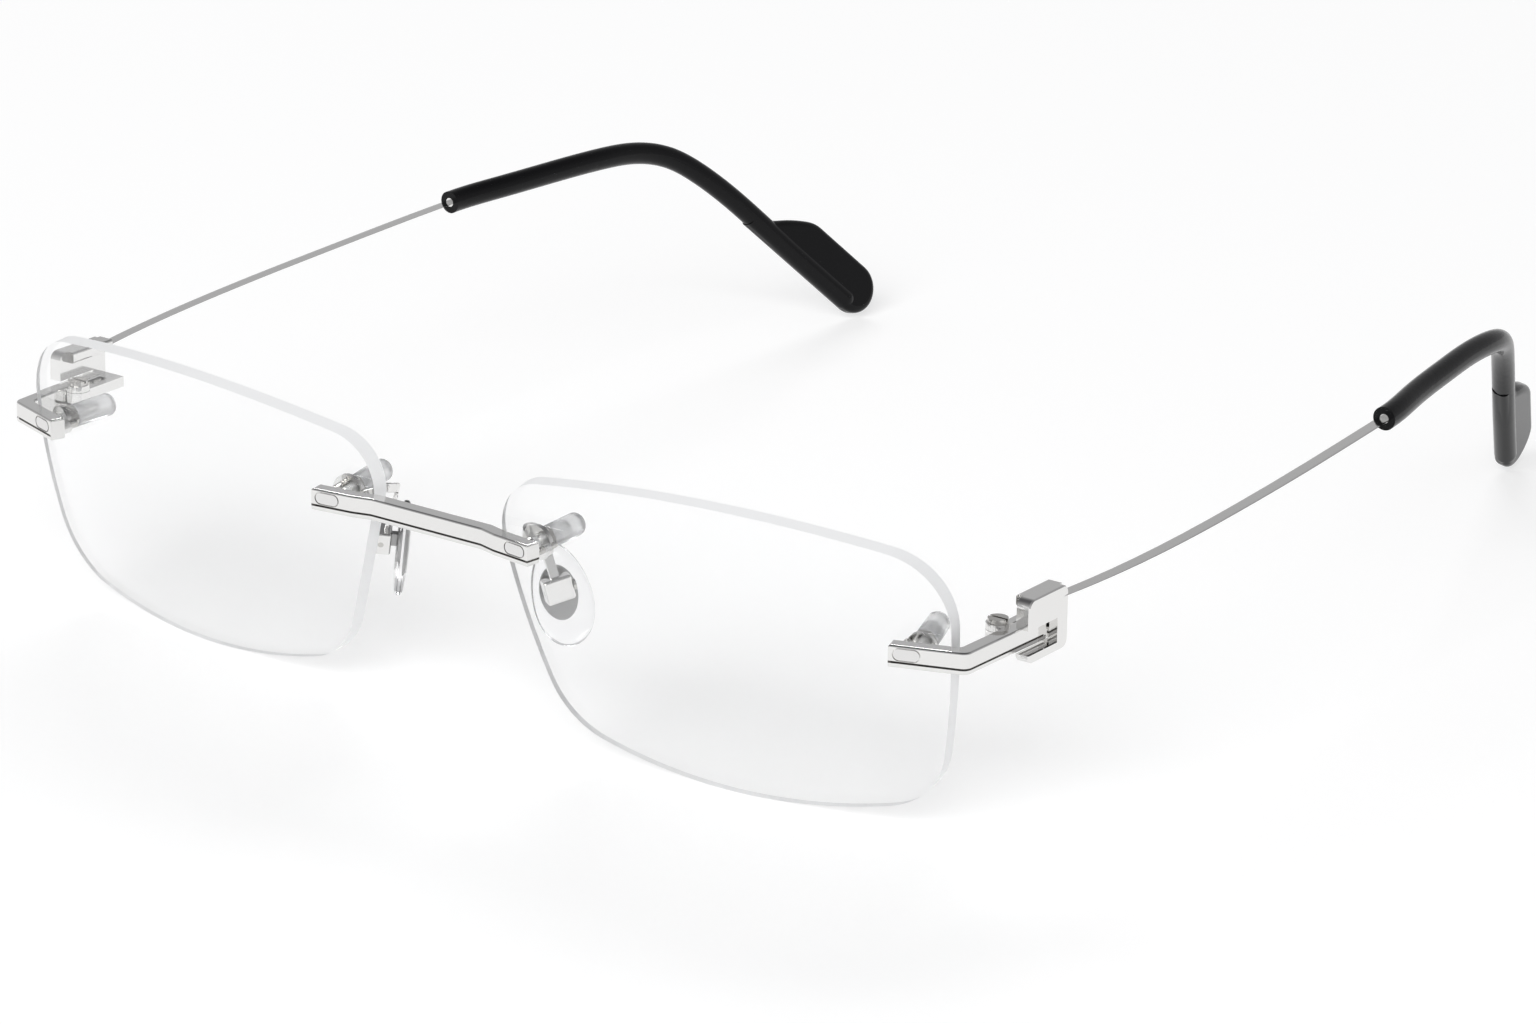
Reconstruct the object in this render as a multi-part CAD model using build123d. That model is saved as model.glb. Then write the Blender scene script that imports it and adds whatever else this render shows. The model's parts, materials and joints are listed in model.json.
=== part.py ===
"""Rimless eyeglasses: drilled lenses, bridge, end pieces, hinges, temples, ear tips and nose pads.

Frame: X towards the wearer's left, Y backwards along the temples, Z up, in millimetres.
The origin is on the ground, under the middle of the bridge. The glasses stand open on the
bottoms of the lenses and the ends of the ear tips. The left side is modelled and mirrored.
"""
from build123d import *
from math import atan2, cos, pi, radians, sin, sqrt
import os

# ---- lenses ----
LENS_THICKNESS = 1.8
LENS_RADIUS = 120.0            # front curve
LENS_CENTRE = (35.5, 4.16, 16.34)
LENS_WRAP = 5.7                # degrees, outer edges turned back
LENS_TILT = 8.6                # degrees, top leaning forward
# sides of the outline, each an arc: direction in degrees, distance from the centre, radius
LENS_SIDES = ((90.5, 16.65, 110.0), (-8.0, 26.97, 85.7), (-93.2, 16.62, 74.6), (201.0, 23.24, 135.5))
# corner radii: top outer, bottom outer, bottom inner, top inner
LENS_CORNERS = (8.4, 8.5, 9.3, 6.2)

# ---- bars of the bridge and end pieces ----
BAR_DEPTH = 1.8
BAR_HEIGHT = 2.45
BAR_EDGE = 0.24                # rounding along the bar
GROOVE_DEPTH = 0.28
GROOVE = (0.50, 0.74)          # heights above the bar's bottom
PLAIN_END = 0.32               # the groove stops this far from the bar's ends
BRIDGE_BOTTOM = 22.5
BRIDGE_FRONT = [(0.0, 1.40), (7.5, 1.40), (9.7, 0.80), (14.75, 0.15)]
END_BOTTOM = 19.75
END_FRONT = [(57.35, 5.55), (65.3, 8.35), (65.7, 22.2)]
FRONT_BEND = 1.1               # bend radii of a bar's front and back faces
BACK_BEND = 0.6
INLAY_LENGTH = 3.05
INLAY_HEIGHT = 1.45
INLAY_DEPTH = 0.4
INLAY_GAP = 0.13               # groove left round each inlay
INLAY_MIDDLE = 1.5             # inlay centre above the bar's bottom
INLAY_INSET = 1.95             # inlay centre from the bar's end

# ---- lens mounts: place of each stud in the lens plane ----
BRIDGE_MOUNT = (-22.6, 7.1)
END_MOUNT = (23.95, 4.28)
STUD_RADIUS = 0.6
STUD_EMBED = 0.75              # length of the stud inside the bar
LENS_HOLE = 0.66
SPACER_RADIUS = 0.95
WASHER_RADIUS = 1.65
WASHER_THICKNESS = 0.5
NUT_FLATS = 2.3
NUT_HEIGHT = 1.1
CAP_RADIUS = 1.3
CAP_LENGTH = 4.9
CAP_BORE = 2.9
STACK_GAP = 0.03
PROBE = 0.05                   # radius of the rod that measures the gap behind a bar
PEG_RADIUS = 0.4
PEG_OFFSET = 1.75              # peg from the stud, along the bar
PEG_BEHIND = 0.9               # peg length behind the lens

# ---- hinges ----
HINGE_X = 62.9
HINGE_Y = 17.4
BARREL_RADIUS = 1.3
BARREL_Z = (19.8, 20.55, 21.75, 22.5)   # lower knuckle, middle knuckle, upper knuckle
KNUCKLE_GAP = 0.05
PIN_RADIUS = 0.5
PIN_CLEARANCE = 0.05
NOTCH_RADIUS = 1.42
SCREW_HEAD_RADIUS = 1.1
SCREW_HEAD_HEIGHT = 0.5
BLOCK_X = (65.3, 66.9)
BLOCK_Y = (17.2, 24.5)
BLOCK_Z = (18.6, 25.6)
BLOCK_CORNER = 1.0
BLOCK_EDGE = 0.15
SLOT_Z = (19.6, 22.35)
SLOT_END = 22.5
RAIL = (64.4, 18.4, 24.3)      # inner top rail: inside, front and bottom
TONGUE_X = (62.2, 63.15)

# ---- temples ----
ARM_WIDTH = 1.4
ARM_HEIGHT = 1.25
ARM_EDGE = 0.2
ARM_POINTS = [(66.1, 23.0, 24.35), (67.1, 31.3, 24.55), (67.8, 45.9, 24.95),
              (67.75, 57.0, 25.3), (67.45, 68.0, 25.65), (67.0, 79.0, 26.05),
              (66.5, 88.5, 26.35)]
TIP_POINTS = [(66.5, 88.5, 26.35), (65.2, 97.0, 26.6), (63.7, 106.8, 26.75),
              (62.6, 114.5, 26.7), (61.6, 121.2, 26.0), (60.3, 125.4, 24.6),
              (58.5, 129.3, 21.9), (56.3, 133.7, 17.8), (52.4, 141.6, 9.35)]
CORE_RADIUS = 0.55
TIP_RADIUS = 1.38
PADDLE_ALONG = (-0.318, 0.657, -0.684)  # direction of the ear tip's straight end
PADDLE_NORMAL = (0.946, 0.172, -0.275)
PADDLE_LENGTH = 10.6           # to the centre of the round end
PADDLE_LOW = -1.3              # lower and upper edges from the tip's axis
PADDLE_HIGH = 5.3
PADDLE_START = (-8.8, 0.6)     # where the upper edge leaves the round tip
PADDLE_THICKNESS = 2.3

# ---- nose pads ----
PAD_CENTRE = (11.3, 11.4, 15.8)
PAD_DOWN = (0.22, 0.13, -0.966)
PAD_TURN = 36.0                # degrees, pad face turned from the side view
PAD_LENGTH = 11.8
PAD_WIDTH = 6.4
PAD_THICKNESS = 1.5
CORE_PLACE = (-0.4, -0.3, 0.25)  # in the pad: down, back, away from the nose
CORE_SIZE = (6.2, 4.0, 0.35)
TAB_SIZE = (1.5, 0.7)
BOX_PLACE = (-1.4, -0.6, 2.2)
BOX_SIZE = (2.7, 3.1, 1.8)
MOUTH = 1.95                   # length of the slot the tab rocks in
PAD_SCREW_RADIUS = 0.32
PAD_SCREW_HEAD = 0.6
PAD_ARM_POINTS = [(11.45, 5.5, 23.8), (10.2, 6.5, 24.2), (9.7, 8.2, 23.9), (10.5, 9.2, 22.3)]
STRIP_SIZE = (1.05, 0.45)
PLATE_RADIUS = 1.95


def mirrored(shape):
    """The same piece on the wearer's right."""
    return mirror(shape, about=Plane.YZ)


def lens_plane():
    wrap, tilt = radians(LENS_WRAP), radians(LENS_TILT)
    forward = (cos(tilt) * sin(wrap), -cos(tilt) * cos(wrap), -sin(tilt))
    return Plane(origin=LENS_CENTRE, x_dir=(cos(wrap), sin(wrap), 0), z_dir=forward)


LENS_PLANE = lens_plane()


def mount_plane(place):
    """Plane on the lens front at a stud, Z along the stud and out of the front."""
    u, v = place
    rise = sqrt(LENS_RADIUS ** 2 - u * u - v * v)
    origin = LENS_PLANE.from_local_coords((u, v, rise - LENS_RADIUS))
    sphere_centre = LENS_PLANE.from_local_coords((0, 0, -LENS_RADIUS))
    return Plane(origin=origin, x_dir=LENS_PLANE.x_dir, z_dir=origin - sphere_centre)


def rod(plane, radius, start, end):
    """Round rod between two heights along a plane's Z."""
    disc = plane.offset(start) * Circle(radius)
    return extrude(disc, amount=end - start, dir=plane.z_dir)


def tube(plane, outer, inner, start, end):
    return rod(plane, outer, start, end) - rod(plane, inner, start - 1, end + 1)


def upright(x, y):
    return Plane(origin=(x, y, 0), z_dir=(0, 0, 1))


def side_circle(side):
    """One side of the lens outline as a full disc."""
    direction, distance, radius = side
    angle = radians(direction)
    reach = distance - radius
    return Pos(reach * cos(angle), reach * sin(angle)) * Circle(radius)


def lens_outline():
    outline = side_circle(LENS_SIDES[0])
    for side in LENS_SIDES[1:]:
        outline = outline & side_circle(side)
    for quarter, radius in enumerate(LENS_CORNERS):
        corners = outline.vertices().sort_by(lambda v: quarter_error(v, quarter))
        outline = fillet(corners[0], radius)
    return outline


def quarter_error(vertex, quarter):
    """How far a corner lies from the given quarter, counted clockwise from top outer."""
    middle = radians(45 - 90 * quarter)
    turn = atan2(vertex.Y, vertex.X) - middle
    return 1 - cos(turn)


def make_lens():
    sheet = LENS_PLANE.offset(-14) * lens_outline()
    blank = extrude(sheet, amount=16, dir=LENS_PLANE.z_dir)
    centre = Pos(*LENS_PLANE.from_local_coords((0, 0, -LENS_RADIUS)))
    lens = blank & (centre * Sphere(LENS_RADIUS))
    lens -= centre * Sphere(LENS_RADIUS - LENS_THICKNESS)
    for place in (BRIDGE_MOUNT, END_MOUNT):
        lens -= rod(mount_plane(place), LENS_HOLE, -4, 4)
        lens -= rod(peg_plane(place), PEG_RADIUS, -4, 4)
    return lens


def moved_back(points, distance):
    """A plan polyline moved towards its back, the left of its direction."""
    count = len(points)
    directions = [(Vector(*points[i + 1]) - Vector(*points[i])).normalized() for i in range(count - 1)]
    normals = [Vector(-d.Y, d.X) for d in directions]
    result = []
    for i, point in enumerate(points):
        before, after = normals[max(i - 1, 0)], normals[min(i, count - 2)]
        shift = (before + after) * (distance / (1 + before.dot(after)))
        result.append((point[0] + shift.X, point[1] + shift.Y))
    return result


def plan_band(points, front, back):
    """Plan of a bent strip between two depths behind a bar's front line."""
    front_points, back_points = moved_back(points, front), moved_back(points, back)
    outline = FilletPolyline(*front_points, radius=FRONT_BEND)
    outline += Line(front_points[-1], back_points[-1])
    outline += FilletPolyline(*back_points[::-1], radius=BACK_BEND)
    outline += Line(back_points[0], front_points[0])
    return make_face(outline)


def shortened(points, plain_ends):
    """The front line without its plain ends: the first end, or both."""
    points = [Vector(*p) for p in points]
    points[0] += (points[1] - points[0]).normalized() * PLAIN_END
    if plain_ends == 2:
        points[-1] += (points[-2] - points[-1]).normalized() * PLAIN_END
    else:
        points[-1] += (points[-1] - points[-2]).normalized()
    return [(p.X, p.Y) for p in points]


def make_bar(points, bottom, plain_ends):
    """Bar with a groove along the lower edge of its front, plain for a moment at its ends."""
    bar = extrude(Pos(0, 0, bottom) * plan_band(points, 0, BAR_DEPTH), amount=BAR_HEIGHT)
    flats = bar.faces().sort_by(Axis.Z)
    bar = fillet(flats[0].edges() + flats[-1].edges(), BAR_EDGE)
    groove = plan_band(shortened(points, plain_ends), -0.5, GROOVE_DEPTH)
    return bar - extrude(Pos(0, 0, bottom + GROOVE[0]) * groove, amount=GROOVE[1] - GROOVE[0])


def inlay_plane(points, bottom, end):
    """Plane on the bar's front face at an inlay, Z out of the front."""
    (x0, y0), (x1, y1) = (points[0], points[1]) if end == "first" else (points[-1], points[-2])
    run = Vector(x1 - x0, y1 - y0, 0).normalized()
    origin = Vector(x0, y0, bottom + INLAY_MIDDLE) + run * INLAY_INSET
    across = run if end == "first" else -run
    return Plane(origin=origin, x_dir=across, z_dir=across.cross(Vector(0, 0, 1)))


def stadium(plane, length, height, depth):
    face = plane * SlotOverall(length, height)
    return extrude(face, amount=-depth)


def recess(plane):
    return stadium(plane.offset(1), INLAY_LENGTH, INLAY_HEIGHT, 1 + INLAY_DEPTH)


def make_inlay(plane):
    smaller = 2 * INLAY_GAP
    return stadium(plane, INLAY_LENGTH - smaller, INLAY_HEIGHT - smaller, INLAY_DEPTH)


def peg_plane(place):
    plane = mount_plane(place)
    towards_nose = -PEG_OFFSET if place is END_MOUNT else PEG_OFFSET
    return Plane(plane.from_local_coords((towards_nose, 0, 0)), x_dir=plane.x_dir, z_dir=plane.z_dir)


def bar_gap(place, bar):
    """Distance from the lens front to the back of the bar, along the stud."""
    probe = rod(mount_plane(place), PROBE, 0.0, 6.0) - bar
    shortest = min(probe.solids(), key=lambda s: (s.center() - mount_plane(place).origin).length)
    return shortest.volume / (pi * PROBE ** 2)


def make_stud(place, bar):
    behind = LENS_THICKNESS + STACK_GAP + WASHER_THICKNESS + NUT_HEIGHT + CAP_BORE - 0.2
    return rod(mount_plane(place), STUD_RADIUS, -behind, bar_gap(place, bar) + STUD_EMBED)


def make_peg(place, bar):
    reach = bar_gap(place, bar) + STUD_EMBED
    return rod(peg_plane(place), PEG_RADIUS, -LENS_THICKNESS - PEG_BEHIND, reach)


def make_spacer(place, bar):
    plane = mount_plane(place)
    length = bar_gap(place, bar) + 0.5
    spacer = tube(plane, SPACER_RADIUS, STUD_RADIUS, 0, length) - bar
    spacer -= rod(peg_plane(place), PEG_RADIUS + 0.05, -1, length + 1)
    return spacer.solids().sort_by(lambda solid: solid.volume)[-1]


def make_washer(place):
    top = -LENS_THICKNESS - STACK_GAP
    washer = tube(mount_plane(place), WASHER_RADIUS, STUD_RADIUS, top - WASHER_THICKNESS, top)
    return washer - rod(peg_plane(place), PEG_RADIUS + 0.05, -6, 1)


def make_nut(place):
    plane = mount_plane(place)
    top = -LENS_THICKNESS - STACK_GAP - WASHER_THICKNESS
    hexagon = plane.offset(top) * RegularPolygon(NUT_FLATS / 2, 6, major_radius=False)
    nut = extrude(hexagon, amount=-NUT_HEIGHT)
    nut -= rod(plane, STUD_RADIUS, top - 2, top + 1)
    return nut


def make_cap(place):
    plane = mount_plane(place)
    top = -LENS_THICKNESS - STACK_GAP - WASHER_THICKNESS - NUT_HEIGHT
    cap = rod(plane, CAP_RADIUS, top - CAP_LENGTH, top)
    far_edge = cap.edges().sort_by(Axis(plane.origin, plane.z_dir))[0]
    cap = fillet(far_edge, CAP_RADIUS * 0.62)
    return cap - rod(plane, STUD_RADIUS, top - CAP_BORE, top + 1)


def make_knuckles():
    axis = upright(HINGE_X, HINGE_Y)
    low, middle, upper, top = BARREL_Z
    knuckles = rod(axis, BARREL_RADIUS, low, middle - KNUCKLE_GAP)
    knuckles += rod(axis, BARREL_RADIUS, upper + KNUCKLE_GAP, top)
    return knuckles


def make_end_piece():
    axis = upright(HINGE_X, HINGE_Y)
    bar = make_bar(END_FRONT, END_BOTTOM, 1)
    bar -= rod(axis, NOTCH_RADIUS, BARREL_Z[1] - KNUCKLE_GAP, BARREL_Z[2] + KNUCKLE_GAP)
    bar += make_knuckles()
    bar -= rod(axis, PIN_RADIUS, 0, 40)
    return bar


def make_hinge_screw():
    axis = upright(HINGE_X, HINGE_Y)
    top = BARREL_Z[3]
    screw = rod(axis, PIN_RADIUS, BARREL_Z[0], top) + rod(axis, SCREW_HEAD_RADIUS, top, top + SCREW_HEAD_HEIGHT)
    slot = Pos(HINGE_X, HINGE_Y, top + SCREW_HEAD_HEIGHT) * Box(3 * SCREW_HEAD_RADIUS, 0.32, 0.5)
    return screw - slot


def span_box(xs, ys, zs):
    """Box between pairs of limits."""
    centre = Pos(sum(xs) / 2, sum(ys) / 2, sum(zs) / 2)
    return centre * Box(xs[1] - xs[0], ys[1] - ys[0], zs[1] - zs[0])


def make_hinge_block():
    """Fork round the bar's rear end, with the tongue and middle knuckle of the hinge."""
    plate = span_box(BLOCK_X, BLOCK_Y, BLOCK_Z)
    plate = fillet(plate.edges().filter_by(Axis.X), BLOCK_CORNER)
    outer_rim = plate.faces().sort_by(Axis.X)[-1].edges()
    plate = chamfer(outer_rim, BLOCK_EDGE)
    plate -= span_box((BLOCK_X[0] - 1, BLOCK_X[1] + 1), (BLOCK_Y[0] - 1, SLOT_END), SLOT_Z)
    rail_x, rail_y, rail_z = RAIL
    rail = span_box((rail_x, BLOCK_X[0] + 1), (rail_y, BLOCK_Y[1] - 0.4), (rail_z, BLOCK_Z[1]))
    rail = fillet(rail.edges().filter_by(Axis.Y).group_by(Axis.X)[0], 0.3)
    middle = BARREL_Z[1:3]
    wall = span_box((TONGUE_X[0], BLOCK_X[0] + 1), (SLOT_END, BLOCK_Y[1] - 0.4), middle)
    tongue = span_box(TONGUE_X, (HINGE_Y, BLOCK_Y[1] - 0.4), middle)
    axis = upright(HINGE_X, HINGE_Y)
    block = plate + rail + wall + tongue + rod(axis, BARREL_RADIUS, *middle)
    block -= rod(axis, PIN_RADIUS + PIN_CLEARANCE, middle[0] - 1, middle[1] + 1)
    return block


def arm_path():
    return Spline(*ARM_POINTS)


def tip_path():
    tangent = Vector(*ARM_POINTS[-1]) - Vector(*ARM_POINTS[-2])
    return Spline(*TIP_POINTS, tangents=[tangent.normalized(), Vector(*PADDLE_ALONG)])


def path_plane(path):
    return Plane(origin=path @ 0, z_dir=path % 0)


def make_arm():
    path = arm_path()
    heading = path % 0
    section = Plane(origin=path @ 0, x_dir=Vector(0, 0, 1).cross(heading), z_dir=heading)
    arm = sweep(section * RectangleRounded(ARM_WIDTH, ARM_HEIGHT, ARM_EDGE), path=path, normal=(0, 0, 1))
    ears = tip_path()
    core = sweep(path_plane(ears) * Circle(CORE_RADIUS), path=ears)
    return arm + core


def make_paddle():
    """Flat end of the ear tip, X along the tip and Y to its upper edge."""
    plane = Plane(origin=TIP_POINTS[-1], x_dir=PADDLE_ALONG, z_dir=PADDLE_NORMAL)
    low, high = PADDLE_LOW, PADDLE_HIGH
    radius, middle = (high - low) / 2, (high + low) / 2
    start = PADDLE_START
    outline = Line((start[0], low), (PADDLE_LENGTH, low))
    outline += ThreePointArc((PADDLE_LENGTH, low), (PADDLE_LENGTH + radius, middle), (PADDLE_LENGTH, high))
    outline += Line((PADDLE_LENGTH, high), (1.6, high))
    outline += Spline((1.6, high), (-0.9, high - 0.7), (-4.2, 2.55), start, tangents=[(-1, 0), (-1, -0.08)])
    outline += Line(start, (start[0], low))
    paddle = extrude(plane.offset(-PADDLE_THICKNESS / 2) * make_face(outline), amount=PADDLE_THICKNESS)
    rim = paddle.faces().filter_by(Plane(plane.origin, z_dir=plane.z_dir)).edges()
    rim = rim - rim.filter_by(lambda e: abs(plane.to_local_coords(e @ 0.5).X - start[0]) < 0.05)
    return fillet(rim, PADDLE_THICKNESS * 0.38)


def make_tip(arm):
    """Round sleeve over the arm's wire, running on along the paddle's lower edge."""
    path = tip_path()
    end = Plane(origin=TIP_POINTS[-1], z_dir=PADDLE_ALONG)
    tip = sweep(path_plane(path) * Circle(TIP_RADIUS), path=path)
    tip += rod(end, TIP_RADIUS, 0, PADDLE_LENGTH - 0.5)
    tip += end.offset(PADDLE_LENGTH - 0.5).location * Sphere(TIP_RADIUS)
    return tip + make_paddle() - arm


def pad_plane():
    """Plane of the nose pad: X along the pad downwards, Z away from the nose."""
    turn = radians(PAD_TURN)
    outwards = Vector(cos(turn), -sin(turn), 0)
    down = Vector(*PAD_DOWN)
    outwards = (outwards - down * (outwards.dot(down) / down.dot(down))).normalized()
    return Plane(origin=PAD_CENTRE, x_dir=down, z_dir=outwards)


def teardrop(length, width):
    """Pad outline, narrower at its top."""
    half, side = length / 2, width / 2
    points = [(half, 0), (half * 0.62, side * 0.88), (0, side), (-half * 0.66, side * 0.66),
              (-half, 0), (-half * 0.66, -side * 0.66), (0, -side), (half * 0.62, -side * 0.88)]
    return make_face(Spline(*points, periodic=True))


def make_core():
    """Metal plate inside the pad, with the tab that the box holds."""
    plane = pad_plane()
    length, width, thickness = CORE_SIZE
    plate = extrude(Ellipse(length / 2, width / 2), amount=thickness / 2, both=True)
    tab_height, z_root = BOX_PLACE[2] + 0.4, CORE_PLACE[2]
    x, y, z = BOX_PLACE
    tab = Pos(x, y, (tab_height + z_root) / 2) * Box(*TAB_SIZE, tab_height - z_root)
    return plane.location * (Pos(*CORE_PLACE) * plate + tab)


def make_pad(core):
    plane = pad_plane()
    pad = extrude(teardrop(PAD_LENGTH, PAD_WIDTH), amount=PAD_THICKNESS / 2, both=True)
    pad = fillet(pad.edges(), PAD_THICKNESS * 0.4)
    return plane.location * pad - core


def box_location():
    return pad_plane().location * Pos(*BOX_PLACE)


def pad_screw_plane():
    """Plane of the pad screw: along the pad's width, through the box and the tab."""
    plane = pad_plane()
    x, y, z = BOX_PLACE
    return Plane(plane.from_local_coords((x, y, z + 0.2)), x_dir=plane.x_dir, z_dir=plane.y_dir)


def make_strip():
    """Flat strip: a loop that leaves the plate on the stud, and a straight strap down to the box."""
    box_centre = box_location().position
    strap_top = Vector(*PAD_ARM_POINTS[-1])
    down = (box_centre - strap_top).normalized()
    path = Spline(*PAD_ARM_POINTS, tangents=[Vector(-1, 0.5, 0.2), down])
    heading = path % 0
    flat = mount_plane(BRIDGE_MOUNT).z_dir
    section = Plane(origin=path @ 0, x_dir=heading.cross(flat), z_dir=heading)
    loop = sweep(section * RectangleRounded(*STRIP_SIZE, 0.1), path=path)
    broad = pad_plane().y_dir
    strap_plane = Plane(origin=strap_top - down * STRIP_SIZE[1], x_dir=broad - down * broad.dot(down), z_dir=down)
    strap = extrude(strap_plane * RectangleRounded(*STRIP_SIZE, 0.1), amount=(box_centre - strap_top).length)
    return loop + strap


def make_pad_arm():
    """Plate on the bridge stud, looped strip, and the box that holds the pad's tab."""
    mount = mount_plane(BRIDGE_MOUNT)
    top = -LENS_THICKNESS - STACK_GAP
    plate = tube(mount, PLATE_RADIUS, STUD_RADIUS, top - WASHER_THICKNESS, top)
    plate -= rod(peg_plane(BRIDGE_MOUNT), PEG_RADIUS + 0.05, -6, 1)
    box = fillet(Box(*BOX_SIZE).edges(), 0.3)
    mouth = Pos(0, 0, -0.5) * Box(MOUTH, TAB_SIZE[1] + 0.1, BOX_SIZE[2] + 0.4)
    arm = make_strip() + plate + box_location() * box
    arm -= box_location() * mouth
    return arm - rod(pad_screw_plane(), PAD_SCREW_RADIUS, -5, 5)


def make_pad_screw():
    plane = pad_screw_plane()
    half = BOX_SIZE[1] / 2
    screw = rod(plane, PAD_SCREW_RADIUS, -half, half) + rod(plane, PAD_SCREW_HEAD, half, half + 0.35)
    slot = plane.offset(half + 0.35) * Box(2, 0.16, 0.3)
    return screw - slot


def side_pieces():
    """Every piece of the wearer's left side, by name."""
    bridge = make_bridge_bar()
    end_piece = make_end_piece()
    arm = make_arm()
    core = make_core()
    pad_arm = make_pad_arm()
    core -= rod(pad_screw_plane(), PAD_SCREW_RADIUS + PIN_CLEARANCE, -5, 5)
    end_inlay = inlay_plane(END_FRONT, END_BOTTOM, "first")
    block = make_hinge_block()
    pieces = {"lens": make_lens(), "pad_arm": pad_arm, "pad_core": core, "nose_pad": make_pad(core)}
    pieces["pad_screw"] = make_pad_screw()
    bars = {"bridge": (BRIDGE_MOUNT, bridge), "end": (END_MOUNT, end_piece)}
    for name, (place, bar) in bars.items():
        pieces[name + "_stud"] = make_stud(place, bar)
        pieces[name + "_peg"] = make_peg(place, bar)
        pieces[name + "_spacer"] = make_spacer(place, bar)
        pieces[name + "_nut"] = make_nut(place)
        pieces[name + "_cap"] = make_cap(place)
    pieces["end_washer"] = make_washer(END_MOUNT)
    end_piece = end_piece - recess(end_inlay) - pieces["end_stud"] - pieces["end_peg"]
    pieces["end_piece"] = end_piece
    pieces["end_inlay"] = make_inlay(end_inlay)
    pieces["hinge_screw"] = make_hinge_screw()
    pieces["hinge_block"] = block - arm
    pieces["temple_arm"] = arm
    pieces["temple_tip"] = make_tip(arm)
    return bridge, pieces


def make_bridge_bar():
    left = BRIDGE_FRONT[1:]
    points = [(-x, y) for x, y in reversed(left)] + left
    return make_bar(points, BRIDGE_BOTTOM, 2)


def finish_bridge(bridge, pieces):
    """Cut the recesses and stud holes of both sides into the bridge."""
    left = BRIDGE_FRONT[1:]
    plane = inlay_plane(left, BRIDGE_BOTTOM, "last")
    inlay = make_inlay(plane)
    for cutter in (recess(plane), pieces["bridge_stud"], pieces["bridge_peg"]):
        bridge = bridge - cutter - mirrored(cutter)
    return bridge, Compound(children=[inlay, mirrored(inlay)])


def pair_of(shape):
    return Compound(children=[shape, mirrored(shape)])


# pieces that are one node for both sides, with the node's name
SHARED = {
    "bridge_stud": "bridge_studs", "end_stud": "end_piece_studs",
    "bridge_peg": "bridge_pegs", "end_peg": "end_piece_pegs",
    "bridge_spacer": "bridge_spacers", "end_spacer": "end_piece_spacers",
    "bridge_nut": "bridge_nuts", "end_nut": "end_piece_nuts",
    "bridge_cap": "bridge_caps", "end_cap": "end_piece_caps",
    "end_washer": "end_piece_washers",
}


def main():
    os.makedirs("parts", exist_ok=True)
    bridge, pieces = side_pieces()
    bridge, inlays = finish_bridge(bridge, pieces)
    nodes = {"bridge_bar": bridge, "bridge_inlays": inlays}
    for name, shape in pieces.items():
        if name in SHARED:
            nodes[SHARED[name]] = pair_of(shape)
        else:
            nodes["left_" + name] = shape
            nodes["right_" + name] = mirrored(shape)
    for name, shape in nodes.items():
        export_step(shape, "parts/" + name + ".step")


main()
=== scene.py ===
import json
import math

import bmesh
import bpy
from mathutils import Matrix, Vector


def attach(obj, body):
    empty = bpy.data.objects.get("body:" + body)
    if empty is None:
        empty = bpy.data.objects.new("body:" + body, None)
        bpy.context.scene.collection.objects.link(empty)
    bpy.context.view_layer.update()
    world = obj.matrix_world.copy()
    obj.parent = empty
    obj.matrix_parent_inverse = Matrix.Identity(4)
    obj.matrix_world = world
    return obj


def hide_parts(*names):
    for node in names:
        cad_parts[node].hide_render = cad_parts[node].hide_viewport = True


# ---- rimless eyeglasses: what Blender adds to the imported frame, in metres ----
MM = 0.001
LENS_CENTRE = Vector((35.5, 4.16, 16.34)) * MM
LENS_RADIUS = 120 * MM
LENS_WRAP = math.radians(5.7)
LENS_TILT = math.radians(8.6)
BRIDGE_MOUNT = (-22.6 * MM, 7.1 * MM)
END_MOUNT = (23.95 * MM, 4.28 * MM)
STACK_BACK = 3.43 * MM         # lens front to the back of the nut
CAP_LENGTH = 4.9 * MM
CAP_RADIUS = 1.3 * MM
CAP_BORE = 2.9 * MM
CAP_LIP = 0.14 * MM            # rounding at the cap's mouth
CAP_SLACK = 0.04 * MM          # room between the stud and the cap's bore
CAP_GAP = 0.02 * MM            # between the nut and the cap
CAP_ROUNDING = 0.62            # share of the cap's radius taken by its domed end
STUD_RADIUS = 0.6 * MM
THREAD_DEPTH = 0.11 * MM
THREAD_PITCH = 0.25 * MM
THREAD_START = -1.8 * MM       # at the back of the lens
STUD_END_ROOM = 0.35 * MM      # from the stud's end to the bottom of the cap's bore
BRIDGE_STUD_FRONT = 1.2 * MM
END_STUD_FRONT = 0.8 * MM
PAD_CENTRE = Vector((11.3, 11.4, 15.8)) * MM
PAD_DOWN = Vector((0.22, 0.13, -0.966))
PAD_TURN = math.radians(36)
PAD_LENGTH = 11.8 * MM
PAD_WIDTH = 6.4 * MM
PAD_THICKNESS = 1.5 * MM
PAD_TAPER = 0.15               # how much wider the pad's lower end is
PAD_FULLNESS = 0.75            # below 1 squares the outline
PAD_CROWN = 0.62               # below 1 flattens the two faces

# metals: colour, roughness, haze on top of the roughness, and strength of the waviness
METALS = {
    "polished_metal": ((0.80, 0.795, 0.785), 0.07, 0.05, 0.1),
    "inlay_metal": ((0.76, 0.755, 0.75), 0.16, 0.08, 0.15),
    "screw_metal": ((0.60, 0.59, 0.57), 0.16, 0.08, 0.2),
    "pad_core_metal": ((0.42, 0.42, 0.42), 0.30, 0.10, 0.2),
}
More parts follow.
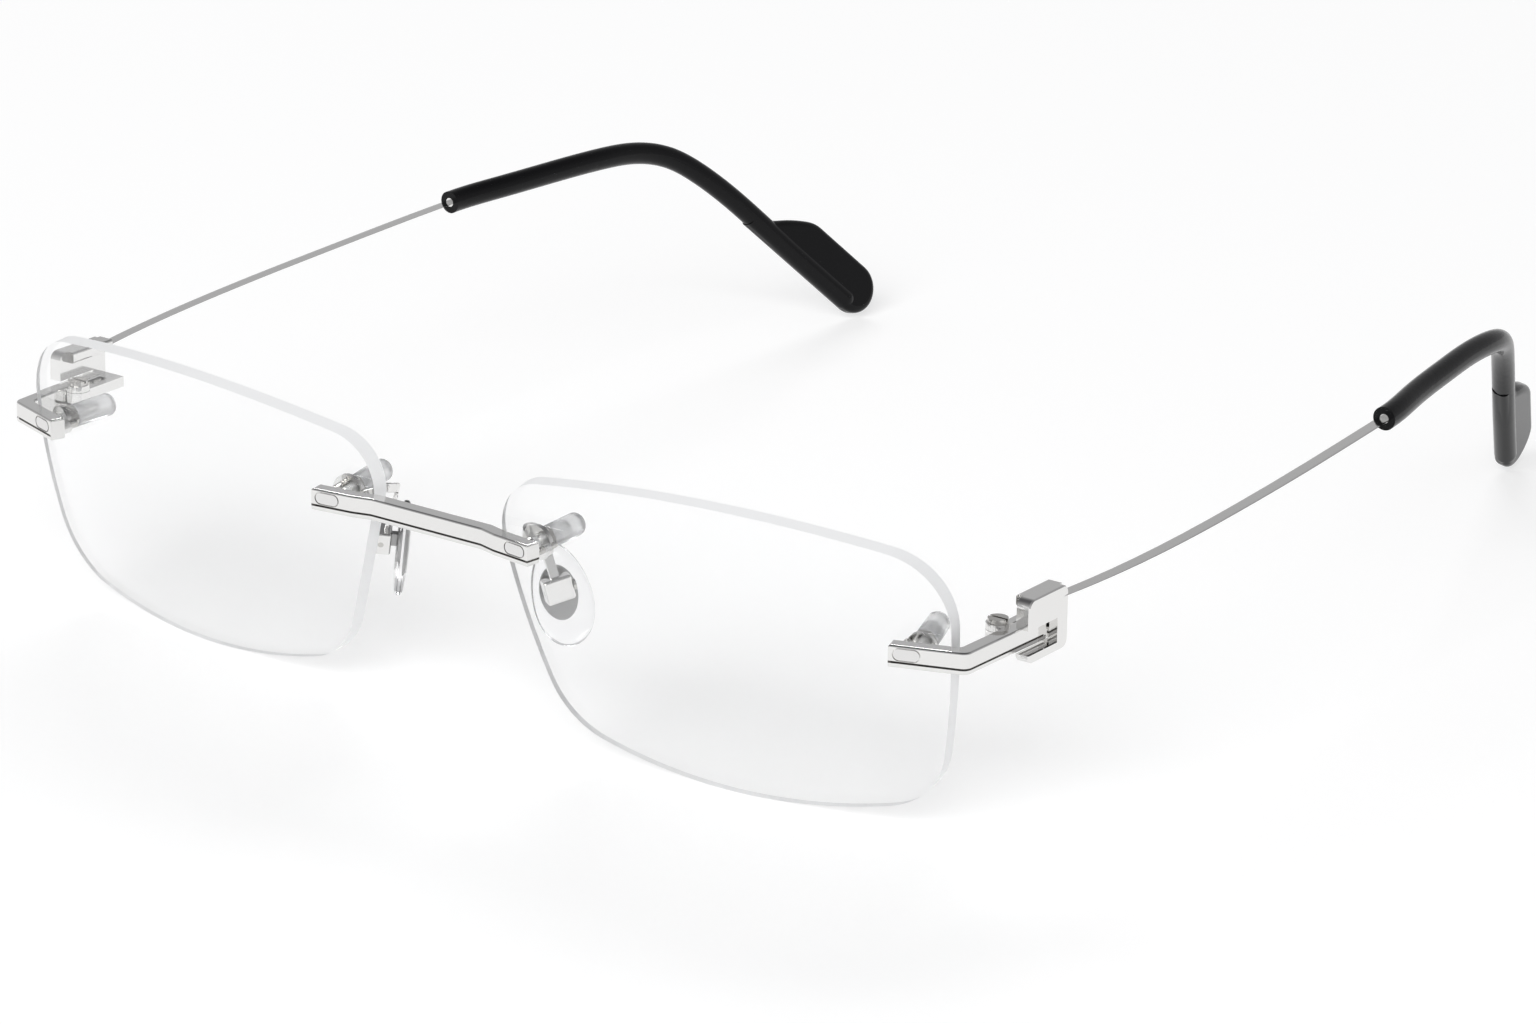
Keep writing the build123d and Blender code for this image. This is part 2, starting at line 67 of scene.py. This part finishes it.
# clear materials: colour, share of light let through, roughness and index of refraction
LENS_GLASS = ((0.995, 0.997, 0.998), 1, 0, 1.5)
LENS_EDGE = ((0.95, 0.955, 0.96), 0.15, 0.45, 1.5)
CAP_PLASTIC = ((0.95, 0.955, 0.96), 0.7, 0.12, 1.46)
PAD_SILICONE = ((0.97, 0.97, 0.975), 1, 0.03, 1.41)
TIP_COLOR = (0.004, 0.004, 0.0045)
TIP_SPECULAR = 0.16
TIP_ROUGHNESS = 0.16
TIP_HAZE = 0.03
TIP_HAZE_SIZE = 300
METAL_HAZE_SIZE = 900
CLEAR_HAZE = 0.04
CLEAR_HAZE_SIZE = 600
HAZE_DETAIL = 4
BUMP_DISTANCE = 0.02 * MM
# painted shade: a dark colour that stands in for the shade inside the groove
GROOVE_SHADE_COLOR = (0.10, 0.095, 0.09)
BRIDGE_GROOVE_SHADE = (23.0 * MM, 23.24 * MM)  # heights of the groove on the bridge, where its shade is painted
END_GROOVE_SHADE = (20.25 * MM, 20.49 * MM)   # and on the end pieces
# bars whose metal has painted shade in its groove
NODE_FINISH = {"bridge_bar": "bridge_metal_groove_shade", "left_end_piece": "end_metal_groove_shade",
               "right_end_piece": "end_metal_groove_shade"}
EDGE_FACING = 0.5                       # lens faces turned further than this are its ground edge
CAP_STEPS = 48                          # steps of a full turn
STUD_STEPS = 36
MERGE_DISTANCE = 1e-7
GROOVE_SHADE_FACING = 0.2                     # a face turned this far outwards gets the groove's painted shade

FLOOR_SIZE = 6
FLOOR_HEIGHT = -0.5 * MM
FLOOR_GREY = 0.5
FLOOR_GLOW = 0.55
# studio grey by height: position on the ramp, red and green, blue
SKY = ((0.0, 0.62, 0.63), (0.42, 0.46, 0.465), (0.85, 0.10, 0.105))
# softboxes: place, aim, width and height in metres, and watts
SOFTBOXES = {
    "front_softbox": ((0.5, -1.6, 1.2), (0, 0, 0), (1.6, 1.0), 40),
    "back_softbox": ((-1.2, 1.8, 1.6), (0, 0.05, 0), (1.4, 0.5), 22),
}
CAMERA_PLACE = (0.40236, -0.49488, 0.25318)
CAMERA_AZIMUTH = 35.757
CAMERA_ELEVATION = 19.63
CAMERA_ROLL = 0.80
CAMERA_LENS = 149.04


# ---- materials ----
def new_material(name):
    material = bpy.data.materials.new(name)
    material.use_nodes = True
    nodes = material.node_tree.nodes
    return material, nodes, material.node_tree.links, nodes["Principled BSDF"]


def math_node(nodes, links, operation, first, second):
    """A Math node whose inputs are either sockets or plain numbers."""
    node = nodes.new("ShaderNodeMath")
    node.operation = operation
    for entry, value in zip(node.inputs, (first, second)):
        if isinstance(value, (int, float)):
            entry.default_value = value
        else:
            links.new(value, entry)
    return node.outputs[0]


def add_sockets(group, entries, exits):
    for names, way in ((entries, "INPUT"), (exits, "OUTPUT")):
        for name in names:
            group.interface.new_socket(name, in_out=way, socket_type="NodeSocketFloat")


def polish_group():
    """Hairline haze of handled metal: roughness that drifts a little, and a trace of waviness."""
    group = bpy.data.node_groups.new("handled_polish", "ShaderNodeTree")
    add_sockets(group, ("Roughness", "Haze", "Size"), ("Roughness", "Height"))
    nodes, links = group.nodes, group.links
    entry, leave = nodes.new("NodeGroupInput"), nodes.new("NodeGroupOutput")
    where = nodes.new("ShaderNodeTexCoord")
    noise = nodes.new("ShaderNodeTexNoise")
    noise.inputs["Detail"].default_value = HAZE_DETAIL
    links.new(where.outputs["Object"], noise.inputs["Vector"])
    links.new(entry.outputs["Size"], noise.inputs["Scale"])
    spread = math_node(nodes, links, "MULTIPLY", noise.outputs["Fac"], entry.outputs["Haze"])
    total = math_node(nodes, links, "ADD", spread, entry.outputs["Roughness"])
    links.new(total, leave.inputs["Roughness"])
    links.new(noise.outputs["Fac"], leave.inputs["Height"])
    return group


def add_polish(group, nodes, links, shader, roughness, haze, size, bump=0.0):
    """Put the haze on a shader's roughness, and its waviness on the normal where bump is given."""
    polish = nodes.new("ShaderNodeGroup")
    polish.node_tree = group
    polish.inputs["Roughness"].default_value = roughness
    polish.inputs["Haze"].default_value = haze
    polish.inputs["Size"].default_value = size
    links.new(polish.outputs["Roughness"], shader.inputs["Roughness"])
    if bump:
        relief = nodes.new("ShaderNodeBump")
        relief.inputs["Strength"].default_value = bump
        relief.inputs["Distance"].default_value = BUMP_DISTANCE
        links.new(polish.outputs["Height"], relief.inputs["Height"])
        links.new(relief.outputs["Normal"], shader.inputs["Normal"])


def metal(name, group, color, roughness, haze, bump):
    material, nodes, links, shader = new_material(name)
    shader.inputs["Base Color"].default_value = (*color, 1)
    shader.inputs["Metallic"].default_value = 1
    add_polish(group, nodes, links, shader, roughness, haze, METAL_HAZE_SIZE, bump)
    return material


def groove_shade_group():
    """Mask for the painted shade in the fine groove along a bar: between two heights, on the sides
    that face outwards.
    """
    group = bpy.data.node_groups.new("bar_groove_painted_shade", "ShaderNodeTree")
    add_sockets(group, ("Low", "High"), ("Mask",))
    nodes, links = group.nodes, group.links
    entry, leave = nodes.new("NodeGroupInput"), nodes.new("NodeGroupOutput")
    where = nodes.new("ShaderNodeTexCoord")
    place, facing = nodes.new("ShaderNodeSeparateXYZ"), nodes.new("ShaderNodeSeparateXYZ")
    links.new(where.outputs["Object"], place.inputs[0])
    links.new(where.outputs["Normal"], facing.inputs[0])
    above = math_node(nodes, links, "GREATER_THAN", place.outputs["Z"], entry.outputs["Low"])
    below = math_node(nodes, links, "LESS_THAN", place.outputs["Z"], entry.outputs["High"])
    side = math_node(nodes, links, "SIGN", place.outputs["X"], 0)
    sideways = math_node(nodes, links, "MULTIPLY", facing.outputs["X"], side)
    outwards = math_node(nodes, links, "SUBTRACT", sideways, facing.outputs["Y"])
    seen = math_node(nodes, links, "GREATER_THAN", outwards, GROOVE_SHADE_FACING)
    band = math_node(nodes, links, "MULTIPLY", above, below)
    links.new(math_node(nodes, links, "MULTIPLY", band, seen), leave.inputs["Mask"])
    return group


def metal_with_groove_shade(name, polish, groove, low, high):
    """Polished bar metal with a painted shade line in its groove."""
    material = metal(name, polish, *METALS["polished_metal"])
    color = METALS["polished_metal"][0]
    nodes, links = material.node_tree.nodes, material.node_tree.links
    line = nodes.new("ShaderNodeGroup")
    line.node_tree = groove
    line.inputs["Low"].default_value = low
    line.inputs["High"].default_value = high
    # painted shade: the groove's dark colour is mixed into the metal where the mask is
    mix = nodes.new("ShaderNodeMix")
    mix.data_type = "RGBA"
    mix.inputs["A"].default_value = (*color, 1)
    mix.inputs["B"].default_value = (*GROOVE_SHADE_COLOR, 1)
    links.new(line.outputs["Mask"], mix.inputs["Factor"])
    links.new(mix.outputs["Result"], nodes["Principled BSDF"].inputs["Base Color"])
    return material


def glass_material(name, color, weight, roughness, ior):
    """Clear or milky material; a lower weight lets less light through."""
    material, nodes, links, shader = new_material(name)
    shader.inputs["Base Color"].default_value = (*color, 1)
    shader.inputs["Transmission Weight"].default_value = weight
    shader.inputs["IOR"].default_value = ior
    shader.inputs["Roughness"].default_value = roughness
    return material


def plastic_material(name, polish, color, weight, roughness, ior):
    """Clear plastic or silicone, with the haze of handling on it."""
    material = glass_material(name, color, weight, roughness, ior)
    nodes, links = material.node_tree.nodes, material.node_tree.links
    shader = nodes["Principled BSDF"]
    add_polish(polish, nodes, links, shader, roughness, CLEAR_HAZE, CLEAR_HAZE_SIZE)
    return material


def black_material(polish):
    material, nodes, links, shader = new_material("black_acetate")
    shader.inputs["Base Color"].default_value = (*TIP_COLOR, 1)
    shader.inputs["Specular IOR Level"].default_value = TIP_SPECULAR
    add_polish(polish, nodes, links, shader, TIP_ROUGHNESS, TIP_HAZE, TIP_HAZE_SIZE)
    return material


def make_materials():
    polish, groove = polish_group(), groove_shade_group()
    materials = {name: metal(name, polish, *finish) for name, finish in METALS.items()}
    # bar metals with painted shade in their grooves
    materials["bridge_metal_groove_shade"] = metal_with_groove_shade("bridge_metal_groove_shade", polish, groove, *BRIDGE_GROOVE_SHADE)
    materials["end_metal_groove_shade"] = metal_with_groove_shade("end_metal_groove_shade", polish, groove, *END_GROOVE_SHADE)
    materials["lens_clear"] = glass_material("clear_lens", *LENS_GLASS)
    materials["ground_edge"] = glass_material("ground_edge", *LENS_EDGE)
    materials["clear_cap"] = plastic_material("clear_cap", polish, *CAP_PLASTIC)
    materials["clear_pad"] = plastic_material("clear_pad", polish, *PAD_SILICONE)
    materials["tip_black"] = black_material(polish)
    return materials


def paint_frame(frame, materials):
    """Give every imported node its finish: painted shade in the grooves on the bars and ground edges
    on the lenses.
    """
    for entry in frame["record"]["subparts"]:
        node = frame["nodes"][entry["node"]]
        node.data.materials.clear()
        finish = NODE_FINISH.get(entry["node"], entry["material_slot"])
        node.data.materials.append(materials[finish])
    forward = lens_axes()[2]
    for side, flip in (("left", 1), ("right", -1)):
        lens = frame["nodes"][side + "_lens"].data
        lens.materials.append(materials["ground_edge"])
        facing = Vector((flip * forward.x, forward.y, forward.z))
        for face in lens.polygons:
            if abs(face.normal.dot(facing)) < EDGE_FACING:
                face.material_index = 1


# ---- shapes ----
def lens_axes():
    """The lens plane: outwards from the nose, upwards, and forwards."""
    forward = Vector((math.cos(LENS_TILT) * math.sin(LENS_WRAP),
                      -math.cos(LENS_TILT) * math.cos(LENS_WRAP), -math.sin(LENS_TILT)))
    outwards = Vector((math.cos(LENS_WRAP), math.sin(LENS_WRAP), 0))
    return outwards, forward.cross(outwards), forward


def mount_matrix(place):
    """Where a stud stands on the lens front, with Z along the stud towards the front."""
    outwards, upwards, forward = lens_axes()
    u, v = place
    rise = math.sqrt(LENS_RADIUS ** 2 - u * u - v * v)
    origin = LENS_CENTRE + outwards * u + upwards * v + forward * (rise - LENS_RADIUS)
    normal = (outwards * u + upwards * v + forward * rise) / LENS_RADIUS
    across = (outwards - normal * outwards.dot(normal)).normalized()
    turn = Matrix((across, normal.cross(across), normal)).transposed()
    return Matrix.Translation(origin) @ turn.to_4x4()


def spun(profile, steps):
    """A closed shape turned round Z from (radius, height) corners that start and end on the axis."""
    mesh = bmesh.new()
    verts = [mesh.verts.new((radius, 0, height)) for radius, height in profile]
    edges = [mesh.edges.new(pair) for pair in zip(verts, verts[1:])]
    bmesh.ops.spin(mesh, geom=verts + edges, cent=(0, 0, 0), axis=(0, 0, 1), angle=2 * math.pi,
                   steps=steps, use_merge=True)
    bmesh.ops.remove_doubles(mesh, verts=mesh.verts, dist=MERGE_DISTANCE)
    bmesh.ops.recalc_face_normals(mesh, faces=mesh.faces)
    return mesh


def both_sides(mesh, matrix):
    """Put the shape in its place on the left and copy it to the right."""
    bmesh.ops.transform(mesh, matrix=matrix, verts=mesh.verts)
    copied = bmesh.ops.duplicate(mesh, geom=mesh.verts[:] + mesh.edges[:] + mesh.faces[:])
    verts = [item for item in copied["geom"] if isinstance(item, bmesh.types.BMVert)]
    bmesh.ops.transform(mesh, matrix=Matrix.Diagonal((-1, 1, 1, 1)), verts=verts)
    bmesh.ops.recalc_face_normals(mesh, faces=mesh.faces)


def add_piece(name, mesh, material, body, replaced, smooth=True):
    data = bpy.data.meshes.new(name)
    for face in mesh.faces:
        face.smooth = smooth
    mesh.to_mesh(data)
    mesh.free()
    data.materials.append(material)
    piece = bpy.data.objects.new(name, data)
    bpy.context.scene.collection.objects.link(piece)
    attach(piece, body)
    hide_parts(*replaced)
    return piece


def dome(radius, height, rounding, steps=8):
    """Outer corners of a cap's far end, from its wall to the axis."""
    corners = []
    for step in range(steps + 1):
        turn = math.pi / 2 * step / steps
        corners.append((radius - rounding + rounding * math.cos(turn),
                        height + rounding - rounding * math.sin(turn)))
    return corners + [(0, height)]


def cap_profile():
    """Clear cap: rounded lip, straight wall, domed end, and the blind bore for the stud."""
    top = -STACK_BACK - CAP_GAP
    end = top - CAP_LENGTH
    lip = CAP_LIP
    bore = STUD_RADIUS + CAP_SLACK
    floor = top - CAP_BORE
    inner = [(0, floor), (bore * 0.8, floor + 0.05 * MM), (bore, floor + 0.25 * MM),
             (bore, top - lip), (bore + lip, top)]
    outer = [(CAP_RADIUS - lip, top), (CAP_RADIUS - 0.3 * lip, top - 0.3 * lip),
             (CAP_RADIUS, top - lip)]
    return inner + outer + dome(CAP_RADIUS, end, CAP_RADIUS * CAP_ROUNDING)


def add_caps(materials):
    for name, place in (("bridge_caps", BRIDGE_MOUNT), ("end_piece_caps", END_MOUNT)):
        mesh = spun(cap_profile(), CAP_STEPS)
        both_sides(mesh, mount_matrix(place))
        add_piece("clear_" + name, mesh, materials["clear_cap"], "front", [name])


def stud_profile(front):
    """Threaded rod: plain inside the bar and the lens, thread crests behind it."""
    crest, root = STUD_RADIUS, STUD_RADIUS - THREAD_DEPTH
    height = THREAD_START
    corners = [(0, front), (crest, front), (crest, height + 0.2 * THREAD_PITCH)]
    while height > -STACK_BACK - CAP_BORE + STUD_END_ROOM:
        corners.append((root, height - 0.25 * THREAD_PITCH))
        corners.append((crest, height - 0.7 * THREAD_PITCH))
        corners.append((crest, height - 0.85 * THREAD_PITCH))
        height -= THREAD_PITCH
    end = height - 0.3 * THREAD_PITCH
    return corners + [(root, end), (0, end)]


def add_studs(materials):
    for name, place, front in (("bridge_studs", BRIDGE_MOUNT, BRIDGE_STUD_FRONT),
                               ("end_piece_studs", END_MOUNT, END_STUD_FRONT)):
        mesh = spun(stud_profile(front), STUD_STEPS)
        both_sides(mesh, mount_matrix(place))
        add_piece("threaded_" + name, mesh, materials["screw_metal"], "front",
                  [name], smooth=False)


def pad_matrix():
    """The nose pad's place: X down along the pad, Z away from the nose."""
    outwards = Vector((math.cos(PAD_TURN), -math.sin(PAD_TURN), 0))
    down = PAD_DOWN.normalized()
    outwards = (outwards - down * outwards.dot(down)).normalized()
    turn = Matrix((down, outwards.cross(down), outwards)).transposed()
    return Matrix.Translation(PAD_CENTRE) @ turn.to_4x4()


def pad_shape():
    """Soft teardrop pad: crowned faces, full rounded rim, narrower at its top."""
    mesh = bmesh.new()
    bmesh.ops.create_uvsphere(mesh, u_segments=72, v_segments=36, radius=1)
    for vert in mesh.verts:
        crown = math.copysign(abs(vert.co.z) ** PAD_CROWN, vert.co.z)
        spread = math.hypot(vert.co.x, vert.co.y)
        full = spread ** PAD_FULLNESS / spread if spread > 1e-6 else 1
        vert.co = (vert.co.x * full, vert.co.y * full * (1 + PAD_TAPER * vert.co.x), crown)
    size = (PAD_LENGTH / 2, PAD_WIDTH / 2, PAD_THICKNESS / 2)
    bmesh.ops.scale(mesh, vec=size, verts=mesh.verts)
    return mesh


def add_nose_pads(materials):
    for side, flip in (("left", 1), ("right", -1)):
        mesh = pad_shape()
        matrix = Matrix.Diagonal((flip, 1, 1, 1)) @ pad_matrix()
        bmesh.ops.transform(mesh, matrix=matrix, verts=mesh.verts)
        bmesh.ops.recalc_face_normals(mesh, faces=mesh.faces)
        pad = add_piece(side + "_silicone_pad", mesh, materials["clear_pad"],
                        side + "_pad", [side + "_nose_pad"])


# ---- stage ----
def make_floor():
    mesh = bmesh.new()
    bmesh.ops.create_grid(mesh, x_segments=1, y_segments=1, size=FLOOR_SIZE)
    data = bpy.data.meshes.new("floor")
    mesh.to_mesh(data)
    mesh.free()
    floor = bpy.data.objects.new("floor", data)
    floor.location.z = FLOOR_HEIGHT
    bpy.context.scene.collection.objects.link(floor)
    material, nodes, links, shader = new_material("pale_floor")
    shader.inputs["Base Color"].default_value = (FLOOR_GREY, FLOOR_GREY, FLOOR_GREY, 1)
    shader.inputs["Roughness"].default_value = 0.9
    shader.inputs["Specular IOR Level"].default_value = 0.0
    shader.inputs["Emission Color"].default_value = (1, 1, 1, 1)
    shader.inputs["Emission Strength"].default_value = FLOOR_GLOW
    data.materials.append(material)


def make_sky():
    """Grey studio walls and a dark ceiling, for the metal to reflect."""
    world = bpy.data.worlds.new("studio")
    bpy.context.scene.world = world
    world.use_nodes = True
    nodes, links = world.node_tree.nodes, world.node_tree.links
    where = nodes.new("ShaderNodeTexCoord")
    split = nodes.new("ShaderNodeSeparateXYZ")
    links.new(where.outputs["Generated"], split.inputs[0])
    ramp = nodes.new("ShaderNodeValToRGB")
    stops = ramp.color_ramp.elements
    stops[0].position, stops[1].position = SKY[0][0], SKY[-1][0]
    stops.new(SKY[1][0])
    for stop, (_, grey, blue) in zip(stops, SKY):
        stop.color = (grey, grey, blue, 1)
    links.new(split.outputs["Z"], ramp.inputs["Fac"])
    links.new(ramp.outputs["Color"], nodes["Background"].inputs["Color"])
    nodes["Background"].inputs["Strength"].default_value = 1.0


def add_softbox(name, place, target, size, energy):
    light = bpy.data.lights.new(name, "AREA")
    light.shape = "RECTANGLE"
    light.size, light.size_y = size
    light.energy = energy
    lamp = bpy.data.objects.new(name, light)
    lamp.location = place
    heading = Vector(target) - Vector(place)
    lamp.rotation_euler = heading.to_track_quat("-Z", "Y").to_euler()
    lamp.visible_glossy = False
    bpy.context.scene.collection.objects.link(lamp)


def make_camera():
    azimuth, elevation = math.radians(CAMERA_AZIMUTH), math.radians(CAMERA_ELEVATION)
    forward = Vector((-math.sin(azimuth) * math.cos(elevation),
                      math.cos(azimuth) * math.cos(elevation), -math.sin(elevation)))
    right = forward.cross(Vector((0, 0, 1))).normalized()
    up = right.cross(forward)
    roll = math.radians(CAMERA_ROLL)
    side = right * math.cos(roll) + up * math.sin(roll)
    top = up * math.cos(roll) - right * math.sin(roll)
    turn = Matrix((side, top, -forward)).transposed()
    data = bpy.data.cameras.new("camera")
    data.lens = CAMERA_LENS
    data.sensor_width = 36
    data.sensor_fit = "HORIZONTAL"
    data.clip_start = 0.01
    data.clip_end = 50
    camera = bpy.data.objects.new("camera", data)
    camera.matrix_world = Matrix.Translation(CAMERA_PLACE) @ turn.to_4x4()
    bpy.context.scene.collection.objects.link(camera)
    bpy.context.scene.camera = camera


def make_stage():
    make_floor()
    make_sky()
    for name, values in SOFTBOXES.items():
        add_softbox(name, *values)
    make_camera()
    bpy.context.scene.view_settings.view_transform = "Standard"


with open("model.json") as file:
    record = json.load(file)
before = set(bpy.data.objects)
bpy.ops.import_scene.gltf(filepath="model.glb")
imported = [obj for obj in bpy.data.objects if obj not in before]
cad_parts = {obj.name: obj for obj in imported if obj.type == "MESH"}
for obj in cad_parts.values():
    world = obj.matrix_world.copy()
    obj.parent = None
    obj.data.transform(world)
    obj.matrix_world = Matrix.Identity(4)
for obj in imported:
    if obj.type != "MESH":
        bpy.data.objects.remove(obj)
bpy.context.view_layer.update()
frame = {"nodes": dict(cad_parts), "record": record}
materials = make_materials()
paint_frame(frame, materials)
add_caps(materials)
add_studs(materials)
add_nose_pads(materials)
make_stage()
